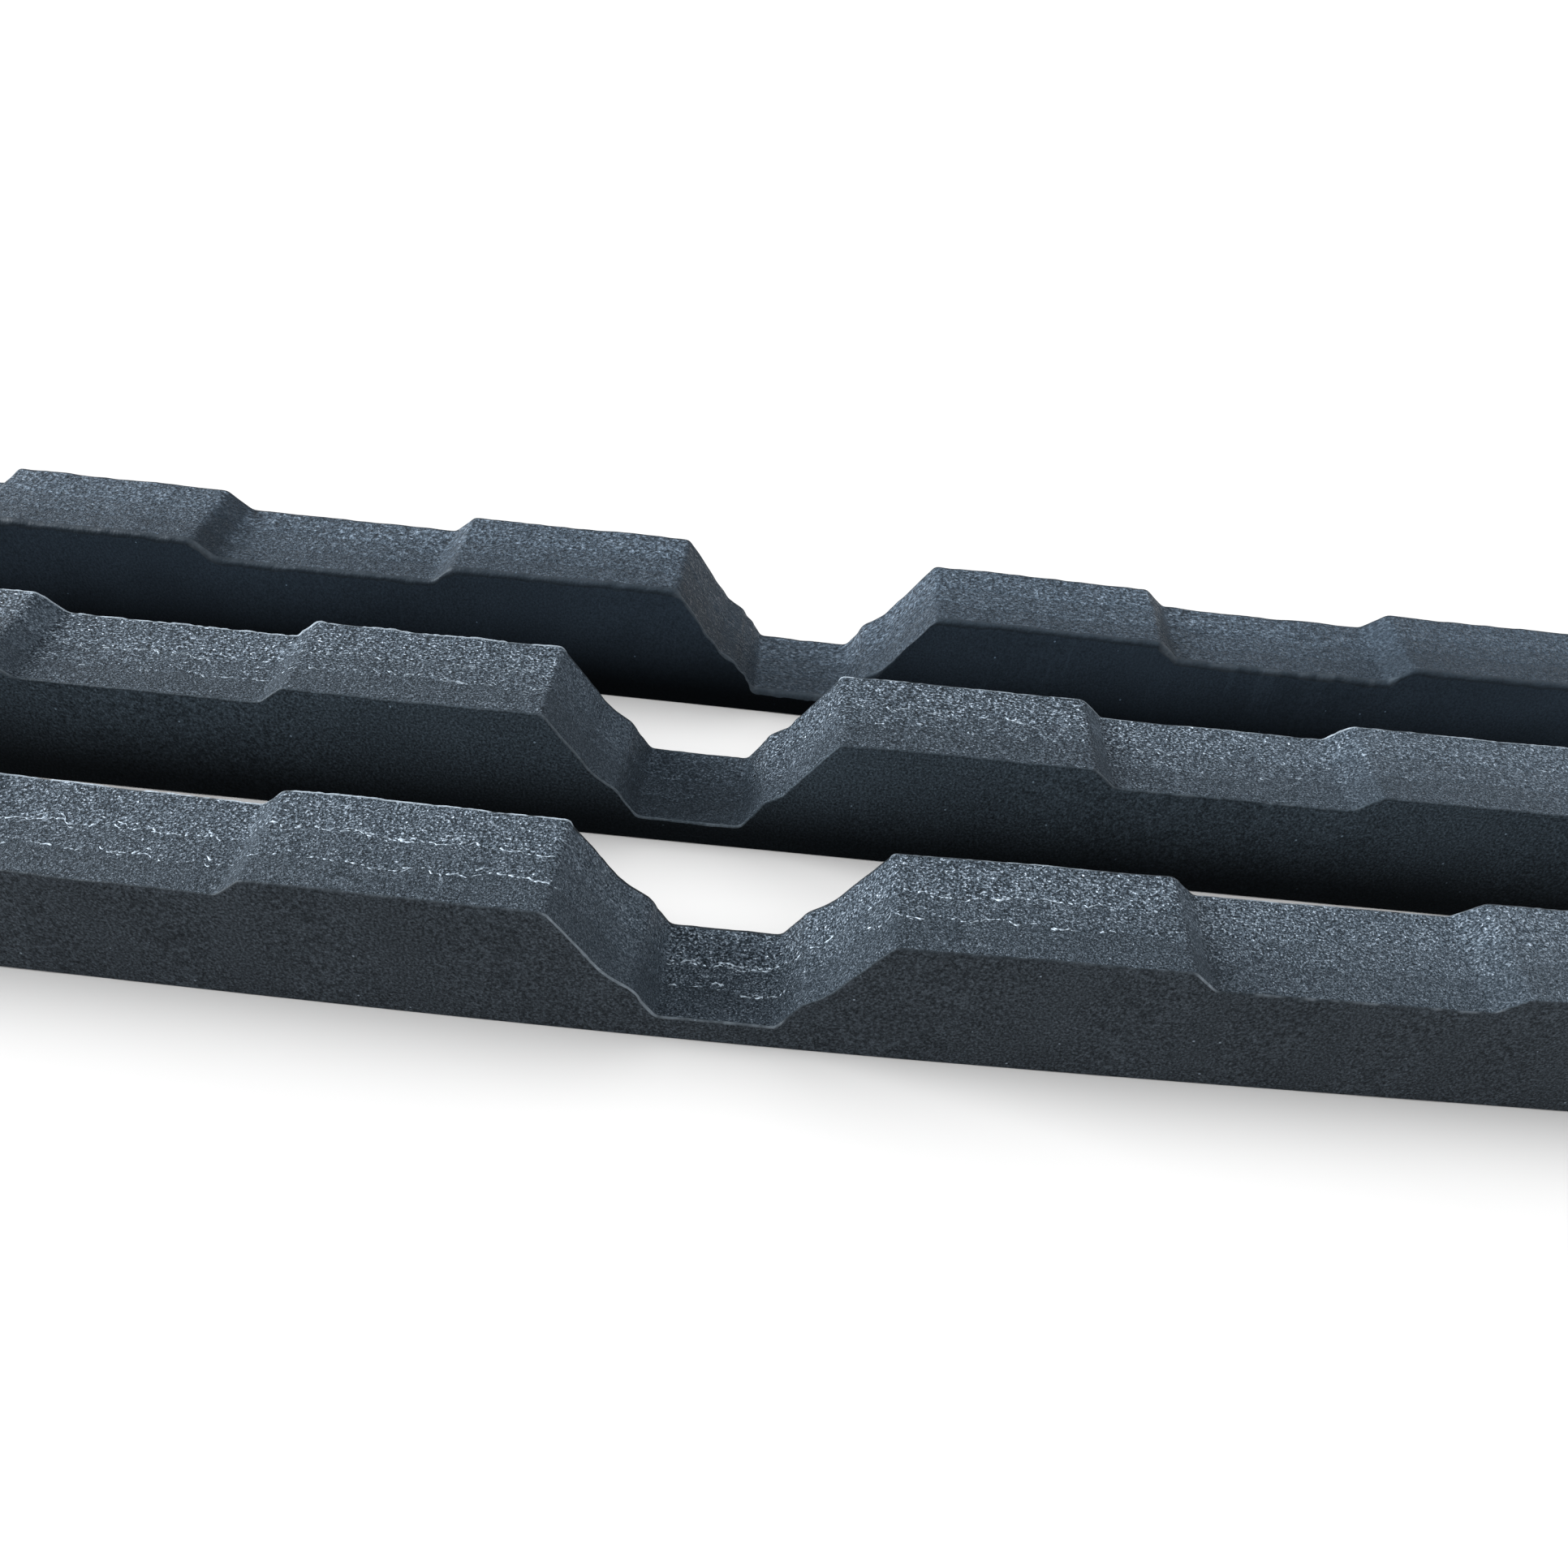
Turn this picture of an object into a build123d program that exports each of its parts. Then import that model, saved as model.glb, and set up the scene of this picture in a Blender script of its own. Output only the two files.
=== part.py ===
from build123d import *
import math
import os

# Three loose foam closure strips for a trapezoidal roofing sheet, laid side by side on their flat
# undersides with the cut profile up. Each strip is three foam plies bonded face to face.
# Millimetres. +X runs along the strips, +Y from the front strip to the back strip, +Z is up.
# The origin is the middle of the middle strip's underside.

# The roofing sheet that the strips fill
COVER_WIDTH = 1000.0
MAJOR_RIBS = 3
RIB_PITCH = COVER_WIDTH / MAJOR_RIBS

# One strip, and the thickness of its plies from the near face to the far face
PLIES = {"near_ply": 8.0, "core_ply": 6.0, "far_ply": 10.0}
STRIP_THICK = sum(PLIES.values())
STRIP_LENGTH = COVER_WIDTH
STRIP_HEIGHT = 31.0

# Notch for a major rib: half widths and heights of one flank, from the floor up to the crown
FLOOR_HALF = 11.0
FLOOR_Z = 6.3
JOG_LOW_HALF = 15.6
JOG_LOW_Z = 13.4
JOG_HIGH_HALF = 19.7
JOG_HIGH_Z = 16.2
MOUTH_HALF = 30.0

# Shallow recess for a minor rib, two in each pitch
MINOR_OFFSET = 112.0
MINOR_MOUTH_HALF = 29.75
MINOR_FLOOR_HALF = 24.7
MINOR_DEPTH = 4.2

# Softened corners that the cutting die leaves
DIE_RADIUS = 1.0

# Where each strip lies: centre in X and Y, and its turn about Z in degrees
STRIPS = {
    "front_strip": (10.9, -54.0, 0.0),
    "middle_strip": (0.0, 0.0, 0.0),
    "back_strip": (21.6, 50.0, -0.38),
}


def flank(centre, side):
    """Points of one flank of a major notch, from the mouth down to the floor."""
    rows = (
        (MOUTH_HALF, STRIP_HEIGHT),
        (JOG_HIGH_HALF, JOG_HIGH_Z),
        (JOG_LOW_HALF, JOG_LOW_Z),
        (FLOOR_HALF, FLOOR_Z),
    )
    return [(centre + side * half, height) for half, height in rows]


def major_notch(centre):
    """Points across a major notch, left to right."""
    return flank(centre, -1) + flank(centre, 1)[::-1]


def minor_notch(centre):
    """Points across a minor recess, left to right."""
    low = STRIP_HEIGHT - MINOR_DEPTH
    return [
        (centre - MINOR_MOUTH_HALF, STRIP_HEIGHT),
        (centre - MINOR_FLOOR_HALF, low),
        (centre + MINOR_FLOOR_HALF, low),
        (centre + MINOR_MOUTH_HALF, STRIP_HEIGHT),
    ]


def cut_points():
    """Every corner of the cut profile between the strip's two ends, left to right."""
    points = []
    for rib in range(MAJOR_RIBS):
        centre = (rib - (MAJOR_RIBS - 1) / 2) * RIB_PITCH
        points += minor_notch(centre - MINOR_OFFSET)
        points += major_notch(centre)
        points += minor_notch(centre + MINOR_OFFSET)
    return points


def upright_plane(strip, depth):
    """Upright plane across a strip, depth behind its near face: local x along it, local y up."""
    centre_x, centre_y, turn = STRIPS[strip]
    angle = math.radians(turn)
    along = Vector(math.cos(angle), math.sin(angle), 0)
    back = Vector(-math.sin(angle), math.cos(angle), 0)
    return Plane(
        origin=Vector(centre_x, centre_y, 0) + back * (depth - STRIP_THICK / 2),
        x_dir=along,
        z_dir=-back,
    )


def make_ply(strip, depth, thick):
    """One ply of one strip: the strip's outline cut from a foam sheet that is thick mm thick."""
    ends = [
        (STRIP_LENGTH / 2, STRIP_HEIGHT),
        (STRIP_LENGTH / 2, 0),
        (-STRIP_LENGTH / 2, 0),
        (-STRIP_LENGTH / 2, STRIP_HEIGHT),
    ]
    half = STRIP_LENGTH / 2
    with BuildPart() as sheet:
        with BuildSketch(upright_plane(strip, depth)) as outline:
            with BuildLine():
                Polyline(*cut_points(), *ends, close=True)
            make_face()
            inner = [v for v in outline.vertices() if abs(v.X) < half - 1 and v.Y > 1]
            fillet(inner, radius=DIE_RADIUS)
        extrude(amount=-thick)
    return sheet.part


os.makedirs("parts", exist_ok=True)

for strip_name in STRIPS:
    ply_depth = 0.0
    for ply_name, ply_thick in PLIES.items():
        ply_part = make_ply(strip_name, ply_depth, ply_thick)
        ply_part.label = f"{strip_name}_{ply_name}"
        export_step(ply_part, f"parts/{ply_part.label}.step")
        ply_depth += ply_thick
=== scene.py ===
import math
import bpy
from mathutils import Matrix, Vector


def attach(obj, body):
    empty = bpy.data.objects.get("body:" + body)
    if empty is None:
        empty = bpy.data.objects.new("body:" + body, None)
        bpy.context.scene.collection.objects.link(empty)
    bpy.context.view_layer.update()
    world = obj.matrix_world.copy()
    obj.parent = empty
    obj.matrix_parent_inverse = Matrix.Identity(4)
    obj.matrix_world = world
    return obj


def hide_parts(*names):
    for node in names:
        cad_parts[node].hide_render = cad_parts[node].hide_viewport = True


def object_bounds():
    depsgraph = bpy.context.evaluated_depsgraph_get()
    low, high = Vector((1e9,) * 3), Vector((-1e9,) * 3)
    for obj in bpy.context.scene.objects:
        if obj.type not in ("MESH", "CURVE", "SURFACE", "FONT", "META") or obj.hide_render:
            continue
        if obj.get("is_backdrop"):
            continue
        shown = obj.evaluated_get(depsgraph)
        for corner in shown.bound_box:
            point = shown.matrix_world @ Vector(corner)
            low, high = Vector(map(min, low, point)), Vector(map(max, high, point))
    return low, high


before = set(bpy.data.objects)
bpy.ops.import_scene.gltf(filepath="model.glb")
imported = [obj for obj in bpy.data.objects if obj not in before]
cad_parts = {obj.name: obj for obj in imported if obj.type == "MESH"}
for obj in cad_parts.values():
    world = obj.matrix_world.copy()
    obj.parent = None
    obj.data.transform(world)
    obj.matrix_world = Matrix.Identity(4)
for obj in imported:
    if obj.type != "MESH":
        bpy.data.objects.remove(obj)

from types import SimpleNamespace

import bpy
import numpy as np
from mathutils import Matrix, Vector

# Three foam closure strips, each a stack of three bonded plies. Lengths below are millimetres;
# place() turns them into the row frame's metres.

CAD_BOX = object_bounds()
MM = 0.001
STRIPS = ("front_strip", "middle_strip", "back_strip")
PLIES = ("near_ply", "core_ply", "far_ply")
# The third material slot holds the edges' painted highlight
CUT, SKIN, HIGHLIGHT_SLOT = 0, 1, 2  # a ply's material slots

# Mesh steps in mm, numbers of rows, and the angle in degrees above which an edge stays sharp
COLUMN_STEP = 0.6
TOP_STEP = 0.6
SKIN_ROWS = 14
BOND_ROWS = 3
ROUND_ROWS = 5
SHARP_ANGLE = 55

# The cut surface, in mm
CORNER_BLUR = 0.5
WANDER_LONG = 0.16
WANDER_SHORT = 0.09
JOG_LUMP = 0.30
SEAM_GROOVE = 0.10
SEAM_WAVE_LONG = 0.85
SEAM_WAVE_SHORT = 0.60
SEAM_ZIGZAG = 0.85
BASE_RADIUS = 0.5
BASE_CHAMFER = BASE_RADIUS * 0.29  # how far the middle of that rounding lies from each face
END_ARRIS = 0.3
FAR_EDGE = 0.45
PLAIN_EDGE = 0.36
FAR_EDGE_RAGGED = 0.08
BOND_SINK_REACH = 0.4
FAR_RIM = 1.6
LIP_SHOWN = 0.15
SLOW_WAVE = 0.10
SKIN_WAVE_LONG = 0.10
SKIN_WAVE_SHORT = 0.05
BOW_REACH = 250.0

# How each strip differs, besides its noise seed. bow is its bend, in 1/mm.
# In mm: the near edge's radius (edge), how far that varies (ragged), how far its rim stands up
# (bead), the far edge's lip, the cut's relief (grain, coarse) and the size of a foam cell.
# From 0 to 1: how rolled the near edge is, how strong the painted highlight on its edges
# (painted_highlight), how strong the ply beads (seams), how far the notch floors take the painted
# calm shading (sunk), how far that foam loses its grain (even), and how much painted shade
# darkens the near skin towards its base (painted_shade).
# Multipliers: tone, cell stretch along the strip, grain contrast, how light foam with the painted
# calm shading is (calm_shading), and the painted light on notch floors, which is painted shade
# below 1 (floor_painted_light). mottle is the power of the skin's specks, and skin is the skin's
# colour.
LOOKS = {
    "front_strip": SimpleNamespace(
        seed=11, bow=1.43e-4, edge=0.36, ragged=0.10, rolled=0.0, bead=0.12, painted_highlight=0.38, lip=0.29,
        grain=0.045, coarse=0.035, seams=1.0, sunk=0.0,
        tone=(1.06, 1.06, 1.07), cell=0.29, stretch=0.90, contrast=1.20,
        calm_shading=1.28, even=0.12, floor_painted_light=0.90,
        skin=(0.0257, 0.0313, 0.0375), mottle=3.0, painted_shade=0.0,
    ),
    "middle_strip": SimpleNamespace(
        seed=23, bow=0.32e-4, edge=0.42, ragged=0.12, rolled=0.0, bead=0.10, painted_highlight=0.17, lip=0.42,
        grain=0.040, coarse=0.040, seams=0.40, sunk=0.60,
        tone=(1.03, 1.04, 1.06), cell=0.31, stretch=0.80, contrast=1.30,
        calm_shading=1.20, even=0.32, floor_painted_light=0.62,
        skin=(0.0330, 0.0452, 0.0571), mottle=2.9, painted_shade=0.93,
    ),
    "back_strip": SimpleNamespace(
        seed=37, bow=0.0, edge=1.30, ragged=0.40, rolled=1.0, bead=0.16, painted_highlight=0.11, lip=0.0,
        grain=0.030, coarse=0.085, seams=0.0, sunk=0.25,
        tone=(0.84, 0.89, 0.95), cell=0.50, stretch=0.80, contrast=0.78,
        calm_shading=0.74, even=0.60, floor_painted_light=1.20,
        skin=(0.0226, 0.0333, 0.0467), mottle=1.0, painted_shade=0.97,
    ),
}
# How the plies differ: multipliers of tone, of the grain's contrast and of the cells' size
PLY_TONE = {"near_ply": 0.70, "core_ply": 0.93, "far_ply": 1.22}
PLY_CONTRAST = {"near_ply": 0.84, "core_ply": 1.00, "far_ply": 1.14}
PLY_CELL = {"near_ply": 0.88, "core_ply": 0.96, "far_ply": 1.12}

# Heights above the base, in mm, that tell notch floors, flank jogs, recesses and crowns apart
FLOOR_TOP = (7.5, 9.5)
# Painted light on notch floors: full at the floor, gone from the upper height up
FLOOR_PAINTED_LIGHT_HEIGHTS = (7.0, 15.0)
BEAD_HEIGHTS = (8, 12)
JOG_FOOT, JOG_TOP = (9, 11), (18, 22)
RECESS_FOOT, RECESS_TOP = (22, 24), (27.5, 29)
LIP_HEIGHTS = (20, 23)
# Painted shade on the near skin: darkest at the base, none from the upper height up
PAINTED_SHADE_HEIGHTS = (3.0, 26.0)

# Places along the strips, in mm, over which marks fade in or out
LIP_FADE = (-20, 60)
BEAD_FADE = (40, 110)
RECESS_RIM = (60, 110)
# CALM_END: where the painted calm shading for the light's falloff comes in at the right end
CALM_END = (90, 140)

# Where a slope counts as facing left or right, from the sideways part of its normal
SIDEWAYS = (0.3, 0.6)

# The cut grain's sharpness, where it is full and where the painted calm shading flattens it
GRAIN_POWER = 2.7
CALM_POWER = 1.2

# Colours, linear
CUT_SHADOW = (0.0258, 0.0382, 0.0520)
# Whitening of the brightest cut cells: partly their own pale tone, partly painted glint
CUT_PALE_AND_GLINT = (0.0138, 0.0145, 0.0150)
# Colour of the painted highlight along the near edge and the far lip
PAINTED_HIGHLIGHT_COLOUR = (0.310, 0.365, 0.420)
BEAD_COLOUR = (0.290, 0.345, 0.400)
RIM_SHADE = 0.45  # the edge's skin against the near skin
FAR_SKIN = (0.0280, 0.0345, 0.0410)
FAR_MOTTLE = 2.5
GLOSS_TINT = (0.62, 0.82, 1.0, 1.0)
FLOOR_COLOUR = (0.54, 0.54, 0.54, 1.0)

# Camera: place, lens and sensor in mm, angles in degrees, and its rise as a part of the sensor
CAMERA_PLACE = (16.8, -205.3, 181.5)
CAMERA_DOWN = 46.54
CAMERA_TURN = -1.895
CAMERA_ROLL = 6.90
CAMERA_LENS = 27.65
CAMERA_SENSOR = 36.0
CAMERA_RISE = 0.0892

# Light: strengths, and angles in degrees
SKY_STRENGTH = 0.88
OVERHEAD_STRENGTH = 1.05
OVERHEAD_SPREAD = 70
OVERHEAD_ELEVATION = 88
SIDE_STRENGTH = 6.20
SIDE_SPREAD = 28
SIDE_ELEVATION = 25.0
SIDE_BEHIND = 5.0


# Noise

LATTICE = 256
ZIGZAG_LENGTH = 3000


def noise(seed, size, along, across=0.0):
    """Smooth noise from -1 to 1, with its bumps about size apart, at the given coordinates."""
    table = np.random.default_rng(seed).uniform(-1, 1, (LATTICE, LATTICE))
    x, y = np.broadcast_arrays(np.asarray(along) / size, np.asarray(across) / size)
    x0, y0 = np.floor(x).astype(int), np.floor(y).astype(int)
    fx, fy = x - x0, y - y0
    fx, fy = fx * fx * (3 - 2 * fx), fy * fy * (3 - 2 * fy)
    x1, y1 = (x0 + 1) % LATTICE, (y0 + 1) % LATTICE
    x0, y0 = x0 % LATTICE, y0 % LATTICE
    low = table[x0, y0] * (1 - fx) + table[x1, y0] * fx
    high = table[x0, y1] * (1 - fx) + table[x1, y1] * fx
    return low * (1 - fy) + high * fy


def zigzag(seed, size, along):
    """Straight runs about size long between random values from -1 to 1."""
    random = np.random.default_rng(seed)
    count = int(ZIGZAG_LENGTH / size)
    knots = np.cumsum(size * random.uniform(0.4, 1.6, count))
    return np.interp(along, knots, random.uniform(-1, 1, count))


def smoothstep(low, high, value):
    """0 below low, 1 above high, and smooth between them."""
    t = np.clip((value - low) / (high - low), 0, 1)
    return t * t * (3 - 2 * t)


# The strips' shapes, from the CAD


def points_of(node):
    """A CAD node's vertices, in millimetres."""
    return np.array([v.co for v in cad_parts[node].data.vertices]) / MM


def blur(values, width):
    """values, sampled at COLUMN_STEP, blurred over width mm, with the two ends held."""
    reach = int(4 * width / COLUMN_STEP) + 1
    at = np.arange(-reach, reach + 1) * COLUMN_STEP
    weights = np.exp(-0.5 * (at / width) ** 2)
    padded = np.concatenate(
        [2 * values[0] - values[reach:0:-1], values, 2 * values[-1] - values[-2 : -reach - 2 : -1]]
    )
    return np.convolve(padded, weights / weights.sum(), "valid")


def read_shape(strip):
    """The strip's place, the depths of its ply joints, and its cut profile in even steps."""
    look = LOOKS[strip]
    near, far = points_of(f"{strip}_near_ply"), points_of(f"{strip}_far_ply")
    base = near[near[:, 2] < 0.5]
    base = base[np.argsort(base[:, 0])]
    half = len(base) // 2
    along = base[half:].mean(axis=0) - base[:half].mean(axis=0)
    along /= np.linalg.norm(along)
    back = np.array([-along[1], along[0], 0.0])
    origin = base.mean(axis=0) @ along * along + (near @ back).min() * back
    shape = SimpleNamespace(strip=strip, look=look, along=along, back=back, origin=origin)
    depths = [(points_of(f"{strip}_{ply}") - origin) @ back for ply in PLIES]
    shape.joints = [float(d.max()) for d in depths[:2]]
    shape.thick = float(depths[2].max())
    face = near[((near - origin) @ back < 0.05) & (near[:, 2] > 1.0)] - origin
    across, up = face @ along, face[:, 2]
    order = np.argsort(across)
    across, up = across[order], up[order]
    run = np.concatenate([[0], np.cumsum(np.hypot(np.diff(across), np.diff(up)))])
    count = int(run[-1] / COLUMN_STEP) + 1
    shape.s = np.linspace(0, run[-1], count)
    shape.u = blur(np.interp(shape.s, run, across), CORNER_BLUR)
    shape.z = blur(np.interp(shape.s, run, up), CORNER_BLUR)
    set_normals(shape)
    knife_wander(shape)
    set_normals(shape)
    return shape


def set_normals(shape):
    """Works out the profile's upward normals."""
    du, dz = np.gradient(shape.u), np.gradient(shape.z)
    size = np.hypot(du, dz)
    shape.nu, shape.nz = -dz / size, du / size


def knife_wander(shape):
    """Moves the profile off its drawn line as a hand-guided cut does, most on the flanks."""
    seed, s = shape.look.seed, shape.s
    steep = 1 - smoothstep(0.60, 0.85, blur(shape.nz, 2.5))
    jog = steep * smoothstep(*JOG_FOOT, shape.z) * (1 - smoothstep(*JOG_TOP, shape.z))
    off = WANDER_LONG * noise(seed, 14, s) + WANDER_SHORT * noise(seed + 1, 5, s)
    off += JOG_LUMP * jog * noise(seed + 2, 3.2, s)
    held = smoothstep(0, 3, np.minimum(s, s[-1] - s))
    shape.u = shape.u + shape.nu * off * held
    shape.z = shape.z + shape.nz * off * held


def place(shape, u, v, z):
    """Row-frame points in metres: u along the strip, v behind its near face, z up, all in mm."""
    u, v, z = np.broadcast_arrays(u, v, z)
    bow = shape.look.bow * u**2 / (1 + (u / BOW_REACH) ** 2)
    points = shape.origin + u[..., None] * shape.along + (v + bow)[..., None] * shape.back
    points[..., 2] = z
    return points * MM


def seam_depth(shape, joint, s):
    """Depth of a ply joint where it meets the cut surface, at distances s along the profile."""
    seed = shape.look.seed + 40 + joint
    wave = SEAM_WAVE_LONG * noise(seed, 34, s) + SEAM_WAVE_SHORT * noise(seed + 5, 9, s)
    return shape.joints[joint] + wave + SEAM_ZIGZAG * zigzag(seed + 9, 2.4, s)


def lift(shape, v):
    """How far the cut surface stands off the knife's path at depth v."""
    look, s = shape.look, shape.s
    fine = look.grain * noise(look.seed + 60, 1.15, s, v)
    coarse = look.coarse * noise(look.seed + 61, 2.9, s, v + 40)
    slow = SLOW_WAVE * noise(look.seed + 62, 17, s, v + 90)
    return fine + coarse + slow


def on_cut(shape, v, extra=0.0):
    """u and z of the cut surface at depth v, extra mm above it."""
    rise = lift(shape, v) + extra
    return shape.u + shape.nu * rise, shape.z + shape.nz * rise


# Ply meshes


class Section:
    """A ply's closed cross-section, as rows that run the strip's whole length."""

    def __init__(self, shape):
        self.shape = shape
        self.rows = []
        self.bands = []
        self.painted_highlight = []

    def add(self, u, v, z, band, painted_highlight=0.0):
        """One row, and the material of the band between it and the next."""
        count = len(self.shape.s)
        self.rows.append([np.broadcast_to(part, (count,)) for part in (u, v, z)])
        self.bands.append(band)
        self.painted_highlight.append(np.broadcast_to(painted_highlight, (count,)))


def calm_shading(shape):
    """Where the grain gets painted calm shading: flanks that face right, away from the side lamp,
    some notch floors in shade, and the right end, where the light falls off.
    """
    facing = smoothstep(*SIDEWAYS, blur(shape.nu, 1.5))
    floor = 1 - smoothstep(*FLOOR_TOP, shape.z)
    # Painted falloff of the light towards the right end
    right = 0.5 * smoothstep(*CALM_END, shape.u)
    return np.maximum(np.maximum(facing, shape.look.sunk * floor), right)


def skin_offset(shape, u, z, side):
    """How far a skin face stands proud of flat, from the sheet's own unevenness."""
    seed = shape.look.seed + 80 + side
    return SKIN_WAVE_LONG * noise(seed, 38, u, z) + SKIN_WAVE_SHORT * noise(seed + 1, 9, u, z)


def edge_radius(shape, side):
    """Radius of the rounded edge between the cut surface and a skin."""
    look, s = shape.look, shape.s
    flat = smoothstep(0.6, 0.85, blur(shape.nz, 2.0))
    base = PLAIN_EDGE + (look.edge - PLAIN_EDGE) * flat if side == 0 else FAR_EDGE
    ragged = look.ragged if side == 0 else FAR_EDGE_RAGGED
    seed = look.seed + 100 + 10 * side
    rough = 0.6 * noise(seed, 2.6, s) + 0.4 * noise(seed + 1, 1.1, s)
    return np.maximum(base + ragged * (rough + 0.5 * noise(seed + 2, 22, s)), 0.2)


def edge_highlight(shape):
    """How much painted highlight the near edge shows, standing in for its rounded rim catching the
    light: most on flanks that face right and on the floors.
    """
    s = shape.s
    facing = smoothstep(0.15, 0.6, blur(shape.nu, 1.5))
    floor = 1 - smoothstep(*FLOOR_TOP, shape.z)
    dots = smoothstep(-0.2, 0.5, noise(shape.look.seed + 130, 1.4, s))
    amount = np.maximum(facing, 0.55 * floor * (0.5 + 0.5 * dots))
    stretches = smoothstep(0.2, 0.6, noise(shape.look.seed + 131, 26, s))
    amount = np.maximum(amount, 0.10 * dots * stretches)
    recess = smoothstep(*RECESS_FOOT, shape.z) * (1 - smoothstep(*RECESS_TOP, shape.z))
    recess = recess * smoothstep(*RECESS_RIM, shape.u)
    return np.maximum(amount, 0.35 * dots * recess)


def add_near_skin(section):
    """The near skin from the base up, and its rounded edge, which carries a painted highlight.
    Returns the depth the edge takes up.
    """
    shape = section.shape
    radius = edge_radius(shape, 0)
    amount = edge_highlight(shape)
    # Painted highlight on the near edge's rounded rim, standing in for it catching the light
    painted_highlight = shape.look.painted_highlight * amount
    rim = np.maximum(amount, shape.look.rolled)
    bead = shape.look.bead * rim * (0.6 + 0.4 * noise(shape.look.seed + 133, 1.7, shape.s))
    top_u, top_z = on_cut(shape, np.zeros_like(radius), -radius)
    section.add(shape.u, BASE_CHAMFER, BASE_CHAMFER, SKIN)
    for row in range(SKIN_ROWS + 1):
        t = row / SKIN_ROWS
        u = shape.u + (top_u - shape.u) * t
        z = BASE_RADIUS + (top_z - BASE_RADIUS) * t
        fade = 1 - smoothstep(0.85, 1.0, t)
        v = -skin_offset(shape, u, z, 0) * fade
        section.add(u, v, z, HIGHLIGHT_SLOT if row == SKIN_ROWS else SKIN, painted_highlight * 0.5 * (t == 1))
    for row in range(1, ROUND_ROWS):
        angle = math.pi / 2 * row / ROUND_ROWS
        inset = radius * (1 - math.sin(angle)) - bead * math.sin(2 * angle)
        v = radius * (1 - math.cos(angle)) - bead * 0.5 * math.sin(2 * angle)
        u, z = on_cut(shape, v, -inset)
        section.add(u, v, z, HIGHLIGHT_SLOT, painted_highlight)
    return radius


# The lip's rows: how far in from the edge, how much of the lip's rise, and how much painted
# highlight
LIP_STEPS = ((1.00, -0.10, 0.0), (0.55, 0.15, 0.4), (0.20, 0.80, 1.0), (0.00, 1.00, 1.0))


def add_far_skin(section):
    """The far edge's lip, with a painted highlight along it, and the far skin down to the base."""
    shape = section.shape
    look, s, thick = shape.look, shape.s, shape.thick
    high = smoothstep(*LIP_HEIGHTS, shape.z) * smoothstep(0.66, 0.76, blur(shape.nz, 1.0))
    rough = 0.50 + 0.40 * noise(look.seed + 150, 1.1, s) + 0.60 * noise(look.seed + 151, 7.5, s)
    facing_left = smoothstep(*SIDEWAYS, -blur(shape.nu, 1.5))
    # The lip and its painted highlight fade away to the right, except on flanks that face left
    fading = 1 - 0.75 * smoothstep(*LIP_FADE, shape.u) * (1 - facing_left)
    lip = look.lip * high * fading * np.maximum(rough, 0.08)
    shown = np.clip(lip / LIP_SHOWN, 0, 1)
    radius = edge_radius(shape, 1) * (1 - 0.75 * high * (look.lip > 0))
    for inward, rise, painted_highlight in LIP_STEPS:
        v = thick - radius - (radius * 0.6 + 0.3) * inward
        u, z = on_cut(shape, v, lip * rise)
        section.add(u, v, z, HIGHLIGHT_SLOT if inward < 1 else CUT, shown * painted_highlight)
    for row in range(1, ROUND_ROWS):
        angle = math.pi / 2 * row / ROUND_ROWS
        v = thick - radius * (1 - math.sin(angle))
        u, z = on_cut(shape, v, lip * math.cos(angle) - radius * (1 - math.cos(angle)))
        section.add(u, v, z, HIGHLIGHT_SLOT if row < 3 else SKIN, shown * (1 - 0.25 * row))
    top_u, top_z = on_cut(shape, thick, -radius)
    for row in range(SKIN_ROWS + 1):
        t = 1 - row / SKIN_ROWS
        u = shape.u + (top_u - shape.u) * t
        z = BASE_RADIUS + (top_z - BASE_RADIUS) * t
        fade = 1 - smoothstep(0.85, 1.0, t)
        section.add(u, thick + skin_offset(shape, u, z, 1) * fade, z, SKIN)
    section.add(shape.u, thick - BASE_CHAMFER, BASE_CHAMFER, SKIN)


def add_top(section, start, end, joined_start, joined_end):
    """Rows of the cut surface from depth start to depth end, sunk a little at a ply joint."""
    shape = section.shape
    rows = int(np.ceil((end - start).max() / TOP_STEP))
    for row in range(rows + 1):
        t = row / rows
        v = start + (end - start) * t
        sink = np.zeros_like(v)
        if joined_start:
            sink += np.exp(-(((v - start) / BOND_SINK_REACH) ** 2))
        if joined_end:
            sink += np.exp(-(((end - v) / BOND_SINK_REACH) ** 2))
        u, z = on_cut(shape, v, -SEAM_GROOVE * sink)
        section.add(u, v, z, CUT)


def add_bond(section, joint, upward):
    """The hidden bond face at a ply joint, between the base and the cut surface."""
    shape = section.shape
    v_top = seam_depth(shape, joint, shape.s)
    for row in range(BOND_ROWS):
        t = row / BOND_ROWS if upward else 1 - (row + 1) / BOND_ROWS
        section.add(shape.u, shape.joints[joint] * (1 - t) + v_top * t, shape.z * t, CUT)


def near_section(shape):
    section = Section(shape)
    edge = add_near_skin(section)
    seam = seam_depth(shape, 0, shape.s)
    add_top(section, edge, seam, False, True)
    add_bond(section, 0, False)
    section.add(shape.u, BASE_RADIUS, 0.0, CUT)
    return section


def core_section(shape):
    section = Section(shape)
    add_bond(section, 0, True)
    add_top(section, seam_depth(shape, 0, shape.s), seam_depth(shape, 1, shape.s), True, True)
    add_bond(section, 1, False)
    return section


def far_section(shape):
    section = Section(shape)
    add_bond(section, 1, True)
    rim = np.full_like(shape.s, shape.thick - FAR_RIM)
    add_top(section, seam_depth(shape, 1, shape.s), rim, True, False)
    add_far_skin(section)
    section.add(shape.u, shape.thick - BASE_RADIUS, 0.0, CUT)
    return section


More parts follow.
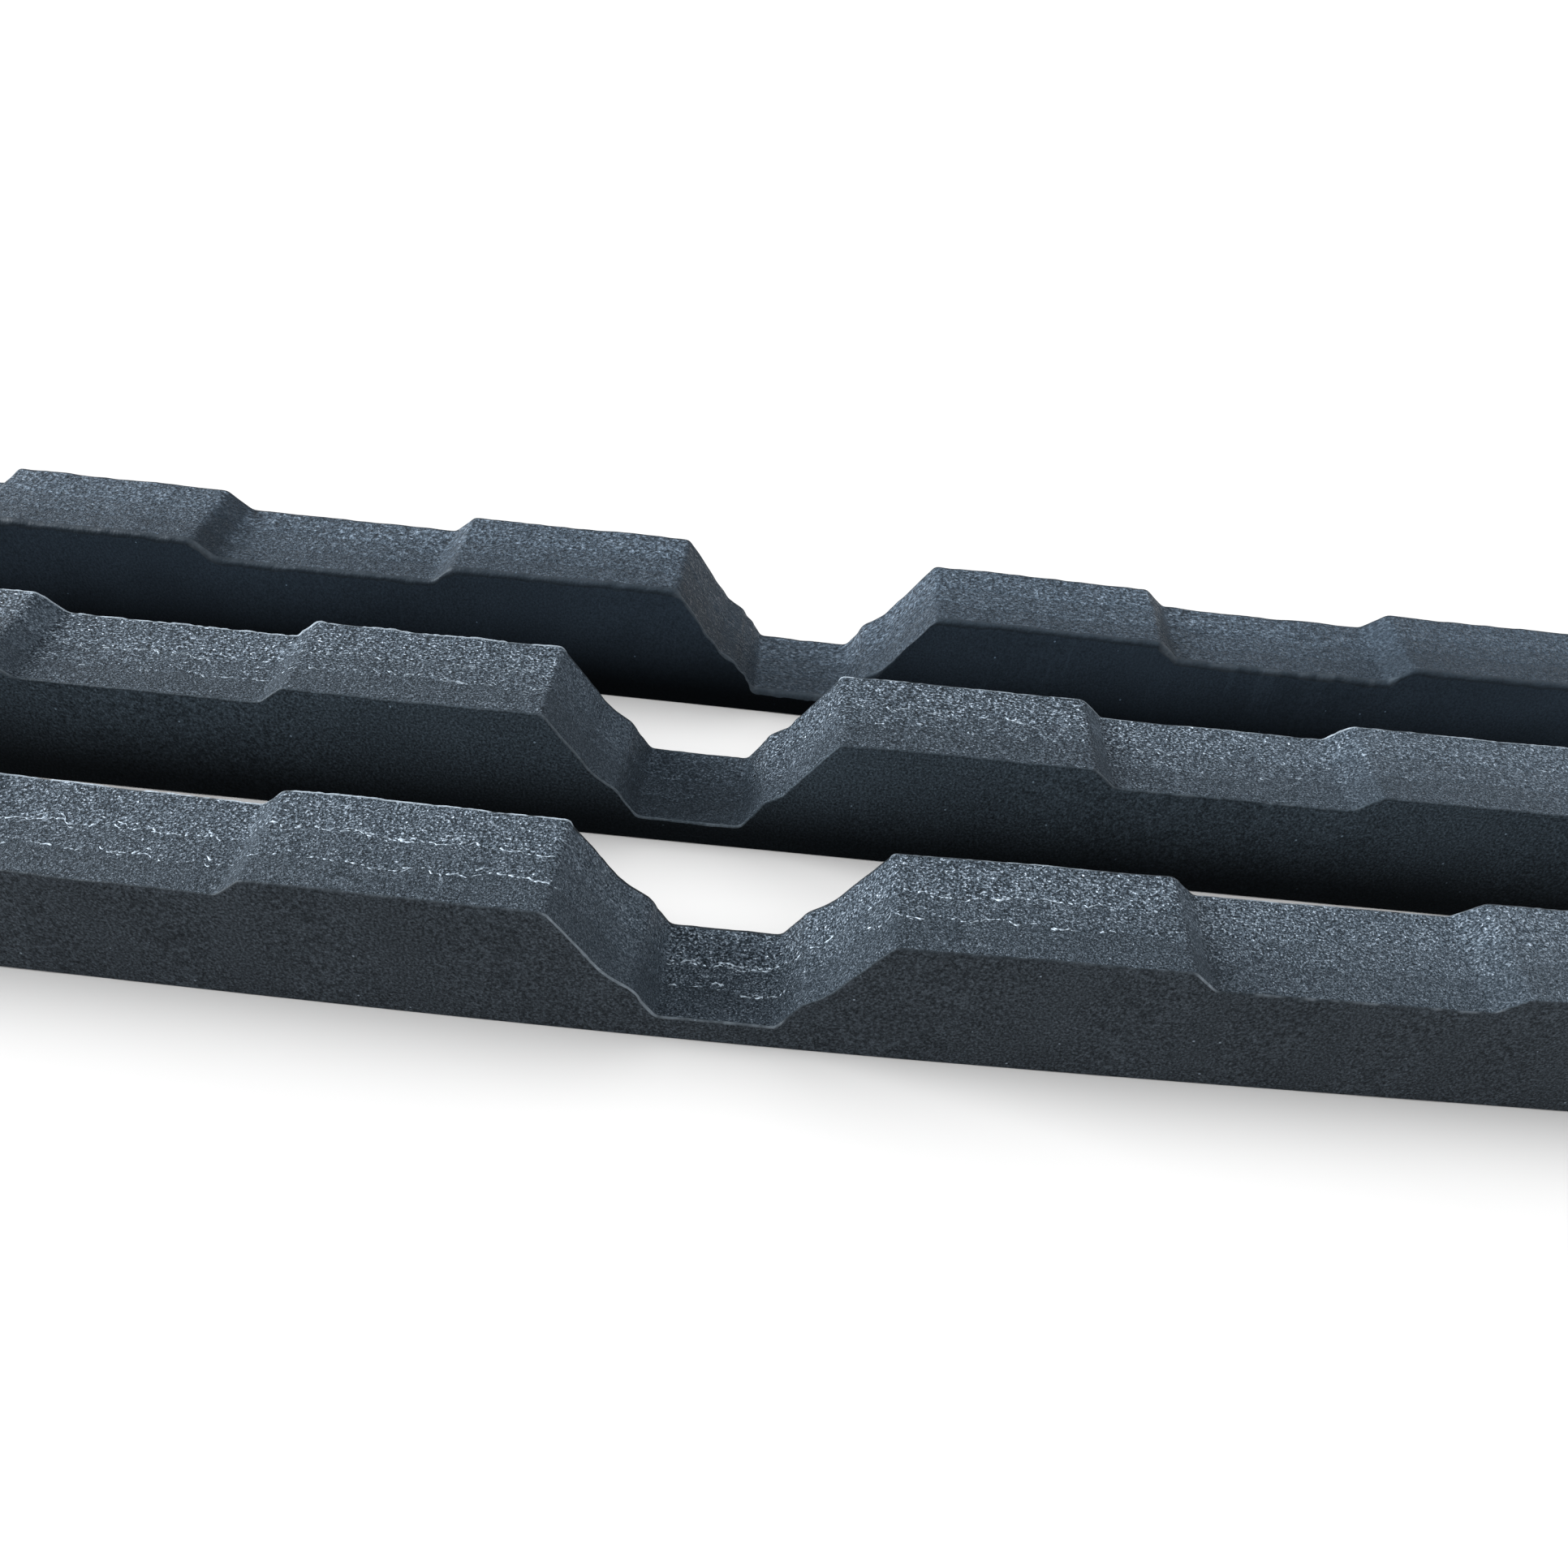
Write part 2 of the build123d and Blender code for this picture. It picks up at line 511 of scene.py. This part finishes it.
def soften_ends(u, v, z):
    """Adds a ring at each end, drawn in a little, so that the plies' ends have a worn arris."""
    u, v, z = (np.pad(part, ((1, 1), (0, 0)), "edge") for part in (u, v, z))
    u[1] += END_ARRIS
    u[-2] -= END_ARRIS
    for part in (v, z):
        for end in (0, -1):
            middle = (part[end].max() + part[end].min()) / 2
            half = part[end].max() - middle
            part[end] = middle + (part[end] - middle) * (1 - END_ARRIS / half)
    return u, v, z


def ply_object(section, name, materials):
    """A closed mesh swept along the strip through a section's rows."""
    rings = soften_ends(*(np.stack([row[k] for row in section.rows], axis=1) for k in range(3)))
    points = place(section.shape, *rings)
    columns, rows = points.shape[:2]
    index = np.arange(columns * rows).reshape(columns, rows)
    after = np.roll(index, -1, axis=1)
    quads = np.stack([index[:-1], index[1:], after[1:], after[:-1]], axis=-1).reshape(-1, 4)
    caps = [index[0].tolist(), index[-1][::-1].tolist()]
    mesh = bpy.data.meshes.new(name)
    mesh.from_pydata(points.reshape(-1, 3).tolist(), [], quads.tolist() + caps)
    bands = np.tile(np.array(section.bands), columns - 1).tolist() + [CUT, CUT]
    mesh.polygons.foreach_set("material_index", bands)
    mesh.shade_smooth()
    mesh.set_sharp_from_angle(angle=math.radians(SHARP_ANGLE))
    painted_highlight = mesh.attributes.new("painted_highlight", "FLOAT", "POINT")
    shown = np.pad(np.stack(section.painted_highlight, axis=1), ((1, 1), (0, 0)), "edge")
    painted_highlight.data.foreach_set("value", shown.reshape(-1).astype(np.float32))
    smooth = mesh.attributes.new("calm_shading", "FLOAT", "POINT")
    calmed = np.repeat(np.pad(calm_shading(section.shape), 1, "edge"), rows)
    smooth.data.foreach_set("value", calmed.astype(np.float32))
    for material in materials:
        mesh.materials.append(material)
    piece = bpy.data.objects.new(name, mesh)
    bpy.context.scene.collection.objects.link(piece)
    return piece


# Light beads of melted foam along the ply joints, and stray dashes beside them that are painted
# glints

BEAD_STEP = 0.2
BEAD_RADIUS = 0.23
JOINT_WEIGHTS = (0.62, 1.0)
BEAD_OUTLINE = ((-1.0, -0.5), (-0.75, 0.25), (0.0, 0.75), (0.75, 0.25), (1.0, -0.5))


def bead_strength(shape, joint, stray_glint, s, u, z, nu):
    """How strong the joint's bead shows, below 0 where there is none."""
    seed = shape.look.seed + 200 + 10 * joint + 20 * stray_glint
    facing_right = smoothstep(0.2, 0.5, nu)
    weight = JOINT_WEIGHTS[joint] - 0.35 * stray_glint - 2.4 * smoothstep(*BEAD_FADE, u)
    patches = 0.55 * noise(seed, 24, s) + 0.45 * noise(seed + 1, 7, s)
    patches += 2.0 * noise(seed + 2, 0.55, s)
    facing_left = smoothstep(*SIDEWAYS, -nu)
    sunk = shape.look.sunk * (1 - smoothstep(*BEAD_HEIGHTS, z))
    hidden = 1.6 * facing_right + 0.5 * facing_left + 3 * sunk
    return weight * shape.look.seams + 0.85 * patches - 0.45 - hidden


def bead_paths(shape, joint, stray_glint):
    """Lines of outline rings for the joint's dashes. Stray ones, painted glints of lit cell walls,
    wander off to either side of it.
    """
    seed = shape.look.seed + 230 + joint + 10 * stray_glint
    s = np.arange(shape.s[0], shape.s[-1], BEAD_STEP)
    u, z, nu, nz = (np.interp(s, shape.s, part) for part in (shape.u, shape.z, shape.nu, shape.nz))
    v = seam_depth(shape, joint, s) + 0.26 * zigzag(seed, 0.6, s)
    # Stray dashes, painted glints of lit cell walls, wander off the joint
    v += 1.6 * stray_glint * noise(seed + 1, 5, s)
    strength = bead_strength(shape, joint, stray_glint, s, u, z, nu)
    knots = 0.75 + 0.75 * noise(seed + 2, 0.4, s)
    radius = BEAD_RADIUS * np.sqrt(np.clip(strength, 0, 1.2)) * knots
    height = np.interp(s, shape.s, lift(shape, seam_depth(shape, joint, shape.s)))
    height -= SEAM_GROOVE * (1 - stray_glint)
    on = np.flatnonzero(strength > 0)
    for run in np.split(on, np.flatnonzero(np.diff(on) > 1) + 1):
        if len(run) >= 4:
            side, up = np.array(BEAD_OUTLINE).T
            rise = height[run, None] + radius[run, None] * up
            across = v[run, None] + radius[run, None] * side
            out, high = nu[run, None] * rise, nz[run, None] * rise
            yield place(shape, u[run, None] + out, across, z[run, None] + high)


def bead_object(shape, joint, name, material):
    """Short raised dashes along one ply joint, the stray ones painted glints, as one mesh."""
    verts, faces = [], []
    size = len(BEAD_OUTLINE)
    for rings in [*bead_paths(shape, joint, 0), *bead_paths(shape, joint, 1)]:
        first, count = len(verts), len(rings)
        verts += [tuple(point) for point in rings.reshape(-1, 3)]
        for k in range(count - 1):
            for j in range(size):
                a, b = first + k * size + j, first + k * size + (j + 1) % size
                faces.append((a, a + size, b + size, b))
        faces.append(tuple(range(first, first + size)))
        faces.append(tuple(range(len(verts) - 1, len(verts) - 1 - size, -1)))
    mesh = bpy.data.meshes.new(name)
    mesh.from_pydata(verts, [], faces)
    mesh.shade_smooth()
    mesh.materials.append(material)
    piece = bpy.data.objects.new(name, mesh)
    bpy.context.scene.collection.objects.link(piece)
    return piece


# Materials


class Nodes:
    """Short calls for making a material's nodes."""

    def __init__(self, name):
        self.material = bpy.data.materials.new(name)
        self.material.use_nodes = True
        self.tree = self.material.node_tree
        self.shader = self.tree.nodes["Principled BSDF"]

    def add(self, kind, settings=None, **inputs):
        """A node. Inputs are given by name, or as in0, in1 for sockets that share one."""
        made = self.tree.nodes.new(kind)
        for key, value in (settings or {}).items():
            setattr(made, key, value)
        for key, value in inputs.items():
            numbered = key[:2] == "in" and key[2:].isdigit()
            socket = made.inputs[int(key[2:]) if numbered else key]
            if isinstance(value, bpy.types.NodeSocket):
                self.tree.links.new(value, socket)
            else:
                socket.default_value = value
        return made

    def math(self, operation, *values):
        inputs = {f"in{k}": value for k, value in enumerate(values)}
        return self.add("ShaderNodeMath", {"operation": operation}, **inputs).outputs[0]

    def scale(self, colour, factor):
        """A colour times a factor that varies over the surface."""
        made = self.add("ShaderNodeVectorMath", {"operation": "SCALE"}, in0=colour)
        self.tree.links.new(factor, made.inputs["Scale"])
        return made.outputs[0]

    def sum(self, one, other):
        """Two colours added up."""
        return self.add("ShaderNodeVectorMath", {"operation": "ADD"}, in0=one, in1=other).outputs[0]

    def coordinates(self, stretch=(1.0, 1.0, 1.0), turn=(0.0, 0.0, 0.0)):
        where = self.add("ShaderNodeTexCoord").outputs["Object"]
        made = self.add("ShaderNodeMapping", Vector=where)
        made.inputs["Scale"].default_value = stretch
        made.inputs["Rotation"].default_value = turn
        return made.outputs[0]

    def noise(self, where, size, detail=2.0, roughness=0.5):
        """Noise from 0 to 1 with features about size mm across."""
        scale = 1 / (size * MM)
        made = self.add("ShaderNodeTexNoise", Vector=where, Scale=scale, Detail=detail)
        made.inputs["Roughness"].default_value = roughness
        return made.outputs[0]

    def cells(self, where, size):
        """Cells about size mm across: the distance to each one's centre, and its random number."""
        made = self.add("ShaderNodeTexVoronoi", Vector=where, Scale=1 / (size * MM))
        split = self.add("ShaderNodeSeparateColor", Color=made.outputs["Color"])
        return made.outputs["Distance"], split.outputs[0]

    def height(self, low, high):
        """0 up to low mm above the base, 1 from high mm up, and smooth between them."""
        where = self.add("ShaderNodeTexCoord").outputs["Object"]
        split = self.add("ShaderNodeSeparateXYZ", Vector=where)
        settings = {"interpolation_type": "SMOOTHSTEP"}
        made = self.add("ShaderNodeMapRange", settings, Value=split.outputs["Z"])
        made.inputs["From Min"].default_value = low * MM
        made.inputs["From Max"].default_value = high * MM
        return made.outputs["Result"]

    def spread(self, value, low, high):
        """value, from 0 to 1, spread over low to high."""
        return self.math("MULTIPLY_ADD", value, high - low, low)

    def bump(self, height, strength, depth):
        made = self.add("ShaderNodeBump", Height=height, Strength=strength, Distance=depth * MM)
        self.tree.links.new(made.outputs[0], self.shader.inputs["Normal"])

    def finish(self, colour, roughness, level):
        self.tree.links.new(colour, self.shader.inputs["Base Color"])
        if roughness is not None:
            self.shader.inputs["Roughness"].default_value = roughness
        self.shader.inputs["Specular IOR Level"].default_value = level
        self.shader.inputs["Specular Tint"].default_value = GLOSS_TINT
        return self.material


def cut_foam(name, look, tone, cell, contrast):
    """A knife-cut face: open cells, each one lighter or darker, a few of them bright, the brightest
    whitened, partly their own pale tone and partly painted glint off lit cell walls.
    """
    make = Nodes(name)
    where = make.coordinates((look.stretch, 1.0, 1.0))
    distance, chance = make.cells(where, cell)
    grain = make.noise(where, cell * 1.35, 2.0, 0.6)
    # The calm_shading attribute paints shading: flatter, evener grain with its own lightness where
    # the side lamp doesn't graze the cut and where its light falls off
    calm_part = make.add("ShaderNodeAttribute", {"attribute_name": "calm_shading"}).outputs["Fac"]
    sharpness = make.spread(calm_part, GRAIN_POWER * contrast, CALM_POWER * contrast)
    ridge = make.math("POWER", make.spread(grain, 0.0, 2.0), sharpness)
    clump = make.spread(make.noise(where, cell * 5.0), 0.80, 1.20)
    patch = make.spread(make.noise(where, 22.0, 1.0), 0.85, 1.15)
    uneven = make.spread(chance, 1.0 - 0.5 * contrast, 1.0 + 0.5 * contrast)
    factor = make.math("MULTIPLY", ridge, uneven)
    factor = make.math("MULTIPLY", factor, make.math("MULTIPLY", clump, patch))
    factor = make.math("MULTIPLY", factor, make.spread(calm_part, 1.0, 1.0 - look.even))
    factor = make.math("ADD", factor, make.math("MULTIPLY", calm_part, look.even))
    factor = make.math("MULTIPLY", factor, make.spread(calm_part, 1.0, look.calm_shading))
    # Painted light on notch floors and low flanks: above 1 painted light, below 1 painted shade
    floor_light = make.spread(make.height(*FLOOR_PAINTED_LIGHT_HEIGHTS), look.floor_painted_light, 1.0)
    factor = make.math("MULTIPLY", factor, floor_light)
    shine = make.math("POWER", chance, 4.0)
    pits, lumps = make.math("MULTIPLY", distance, 0.6), make.math("MULTIPLY", grain, 2.0)
    height = make.math("ADD", pits, lumps)
    make.bump(height, 1.0, cell * 1.15 * contrast)
    make.tree.links.new(make.spread(shine, 0.65, 0.28), make.shader.inputs["Roughness"])
    dark = make.scale([a * b for a, b in zip(tone, CUT_SHADOW)], factor)
    # The brightest cells whitened: partly their own pale tone, partly painted glint
    squared = make.math("MULTIPLY", factor, factor)
    pale_and_glint = make.scale([a * b for a, b in zip(tone, CUT_PALE_AND_GLINT)], squared)
    return make.finish(make.sum(dark, pale_and_glint), None, 0.15)


def skin_colour(make, colour, mottle, painted_shade):
    """The dark skin's colour: mottled, scuffed and dusted, and with painted shade darker towards the
    base by painted_shade.
    """
    where = make.coordinates()
    specks = make.math("POWER", make.spread(make.noise(where, 0.52, 3.0, 0.75), 0.0, 2.0), mottle)
    patch = make.spread(make.noise(where, 16.0, 2.0), 0.75, 1.25)
    slanted = make.coordinates((1.0, 1.0, 0.10), (0.0, math.radians(35), 0.0))
    streaks = make.noise(slanted, 3.0, 3.0, 0.7)
    scuff = make.math("MULTIPLY", make.math("SUBTRACT", streaks, 0.62), 5.0)
    scuff = make.math("MAXIMUM", scuff, 0.0)
    distance, chance = make.cells(where, 4.5)
    centre, picked = make.math("LESS_THAN", distance, 0.05), make.math("GREATER_THAN", chance, 0.5)
    speck = make.math("MULTIPLY", centre, picked)
    factor = make.math("MULTIPLY", specks, patch)
    factor = make.math("ADD", factor, make.math("MULTIPLY", scuff, 0.5))
    factor = make.math("ADD", factor, make.math("MULTIPLY", speck, 5.0))
    make.bump(make.noise(where, 0.6, 2.0), 0.8, 0.16)
    # Painted shade: darker towards the base, where the strip in front shadows the near skin
    painted_base_shade = make.spread(make.height(*PAINTED_SHADE_HEIGHTS), 1.0 - painted_shade, 1.0)
    factor = make.math("MULTIPLY", factor, painted_base_shade)
    return make.scale(colour, factor)


def foam_skin(name, colour, mottle, painted_shade):
    """The sheet's own skin, closed and darker than a cut face."""
    make = Nodes(name)
    return make.finish(skin_colour(make, colour, mottle, painted_shade), 0.70, 0.04)


def edge_highlight_material(name, look):
    """Skin on the edge, with a painted highlight of the rim catching the light, as much as the
    painted_highlight attribute says.
    """
    make = Nodes(name)
    base = skin_colour(make, [RIM_SHADE * part for part in look.skin], look.mottle, 0.0)
    amount = make.add("ShaderNodeAttribute", {"attribute_name": "painted_highlight"}).outputs["Fac"]
    broken = make.spread(make.noise(make.coordinates(), 0.8, 2.0), 0.35, 1.65)
    amount = make.math("MULTIPLY", amount, broken)
    made = make.add("ShaderNodeMix", {"data_type": "RGBA", "clamp_factor": True})
    make.tree.links.new(amount, made.inputs["Factor"])
    make.tree.links.new(base, made.inputs["A"])
    painted_highlight = make.spread(make.noise(make.coordinates(), 1.3, 2.0), 0.6, 1.4)
    make.tree.links.new(make.scale(PAINTED_HIGHLIGHT_COLOUR, painted_highlight), made.inputs["B"])
    return make.finish(made.outputs["Result"], 0.55, 0.25)


def bead_material(name, tone):
    """Melted foam at a ply joint, and the painted glints of the stray dashes beside it."""
    make = Nodes(name)
    where = make.coordinates()
    mottle = make.math("POWER", make.spread(make.noise(where, 0.8, 2.0), 0.0, 2.0), 2.0)
    colour = make.scale([tone * part for part in BEAD_COLOUR], mottle)
    make.bump(make.noise(where, 0.4, 1.0), 0.5, 0.1)
    return make.finish(colour, 0.40, 0.50)


# The pieces


def build_strip(strip):
    """The strip's three plies and the beads of its two joints."""
    shape = read_shape(strip)
    look = shape.look
    # The near skin carries painted shade at its base; the far skin has none
    near_skin = foam_skin(f"{strip}_near_skin", look.skin, look.mottle, look.painted_shade)
    far_skin = foam_skin(f"{strip}_far_skin", FAR_SKIN, FAR_MOTTLE, 0.0)
    painted_highlight = edge_highlight_material(f"{strip}_edge_highlight", look)
    makers = {"near_ply": near_section, "core_ply": core_section, "far_ply": far_section}
    for ply, section in makers.items():
        cut = cut_foam(
            f"{strip}_{ply}_cut",
            look,
            [part * PLY_TONE[ply] for part in look.tone],
            look.cell * PLY_CELL[ply],
            look.contrast * PLY_CONTRAST[ply],
        )
        skin = near_skin if ply == "near_ply" else far_skin
        piece = ply_object(section(shape), f"{strip}_{ply}_foam", [cut, skin, painted_highlight])
        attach(piece, strip)
        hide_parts(f"{strip}_{ply}")
    if not look.seams:
        return
    bead = bead_material(f"{strip}_bond_bead", 0.55 + 0.45 * look.seams)
    for joint, side in enumerate(("near", "far")):
        piece = bead_object(shape, joint, f"{strip}_{side}_bond_bead", bead)
        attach(piece, strip)


# Stage, light and camera


def make_floor():
    """A large plain pale floor under the strips."""
    half = 4.0
    corners = [(-half, -half, 0), (half, -half, 0), (half, half, 0), (-half, half, 0)]
    mesh = bpy.data.meshes.new("floor")
    mesh.from_pydata(corners, [], [(0, 1, 2, 3)])
    material = bpy.data.materials.new("floor")
    material.use_nodes = True
    shader = material.node_tree.nodes["Principled BSDF"]
    shader.inputs["Base Color"].default_value = FLOOR_COLOUR
    shader.inputs["Roughness"].default_value = 0.9
    shader.inputs["Specular IOR Level"].default_value = 0.1
    mesh.materials.append(material)
    floor = bpy.data.objects.new("floor", mesh)
    bpy.context.scene.collection.objects.link(floor)
    floor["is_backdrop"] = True


def make_sun(name, strength, spread, azimuth, elevation):
    """A soft lamp from azimuth degrees, counted from -X towards +Y, and elevation degrees."""
    lamp = bpy.data.lights.new(name, "SUN")
    lamp.energy = strength
    lamp.angle = math.radians(spread)
    holder = bpy.data.objects.new(name, lamp)
    a, e = math.radians(azimuth), math.radians(elevation)
    source = Vector((-math.cos(a) * math.cos(e), math.sin(a) * math.cos(e), math.sin(e)))
    holder.rotation_mode = "QUATERNION"
    holder.rotation_quaternion = source.to_track_quat("Z", "Y")
    bpy.context.scene.collection.objects.link(holder)


def make_light():
    """Plain soft studio light: even surroundings, one soft lamp overhead and one from the left."""
    world = bpy.data.worlds.new("studio")
    world.use_nodes = True
    background = world.node_tree.nodes["Background"]
    background.inputs["Color"].default_value = (1.0, 1.0, 1.0, 1.0)
    background.inputs["Strength"].default_value = SKY_STRENGTH
    bpy.context.scene.world = world
    make_sun("overhead", OVERHEAD_STRENGTH, OVERHEAD_SPREAD, 0, OVERHEAD_ELEVATION)
    make_sun("left", SIDE_STRENGTH, SIDE_SPREAD, SIDE_BEHIND, SIDE_ELEVATION)


def make_camera():
    data = bpy.data.cameras.new("camera")
    data.lens = CAMERA_LENS
    data.sensor_width = CAMERA_SENSOR
    data.shift_y = CAMERA_RISE
    data.clip_start = 0.01
    camera = bpy.data.objects.new("camera", data)
    down, turn, roll = (math.radians(v) for v in (CAMERA_DOWN, CAMERA_TURN, CAMERA_ROLL))
    level = Vector((math.cos(turn), math.sin(turn), 0))
    flat = math.cos(down)
    ahead = Vector((-math.sin(turn) * flat, math.cos(turn) * flat, -math.sin(down)))
    up = level.cross(ahead)
    right = level * math.cos(roll) + up * math.sin(roll)
    above = up * math.cos(roll) - level * math.sin(roll)
    camera.matrix_world = Matrix.Translation(Vector(CAMERA_PLACE) * MM) @ Matrix(
        (right, above, -ahead)
    ).transposed().to_4x4()
    bpy.context.scene.collection.objects.link(camera)
    bpy.context.scene.camera = camera


for name in STRIPS:
    build_strip(name)
make_floor()
make_light()
make_camera()
bpy.context.scene.view_settings.view_transform = "Standard"

boxes = {"cad": CAD_BOX, "visual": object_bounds()}
{key: [list(corner) for corner in box] for key, box in boxes.items()}
